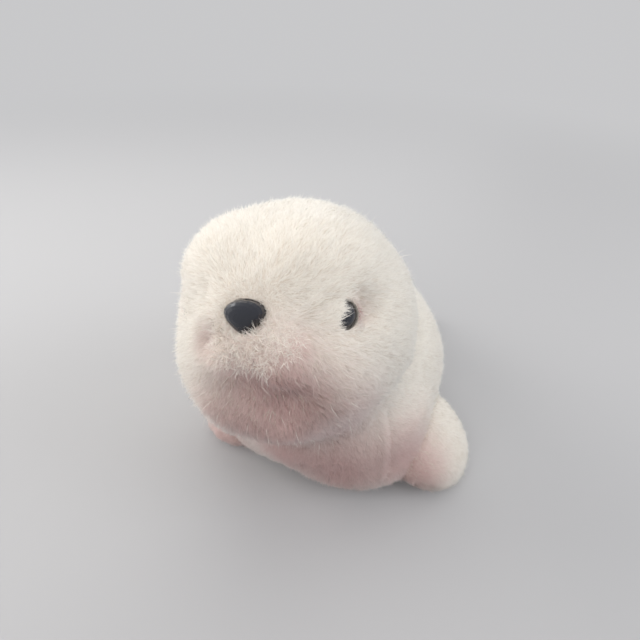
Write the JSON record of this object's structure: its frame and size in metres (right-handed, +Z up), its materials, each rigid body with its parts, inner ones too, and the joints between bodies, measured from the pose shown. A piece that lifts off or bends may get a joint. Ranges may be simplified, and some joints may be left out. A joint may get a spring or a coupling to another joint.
{
  "type": "plush seal",
  "caption": "White plush seal pup lying on its belly, raised head, stub front flippers, two tail flippers, gloss black eyes and nose.",
  "frame": {"origin": "on the surface the toy lies on, under the middle of its bounding box", "axes": "+Z up, the seal faces -Y with its tail towards +Y, +X is the seal's left"},
  "size_m": [0.1306, 0.177, 0.124],
  "materials": {
    "pile_fabric": "white short-pile plush",
    "black_plastic": "polished black",
    "washer_plastic": "plain moulded"
  },
  "bodies": {
    "root": {"body": "pile_fabric", "front_flipper_left": "pile_fabric", "front_flipper_right": "pile_fabric", "tail_flipper_left": "pile_fabric", "tail_flipper_right": "pile_fabric", "eye_left": "black_plastic", "eye_right": "black_plastic", "nose": "black_plastic", "eye_washer_left": "washer_plastic", "eye_washer_right": "washer_plastic", "nose_washer": "washer_plastic"}
  },
  "joints": []
}
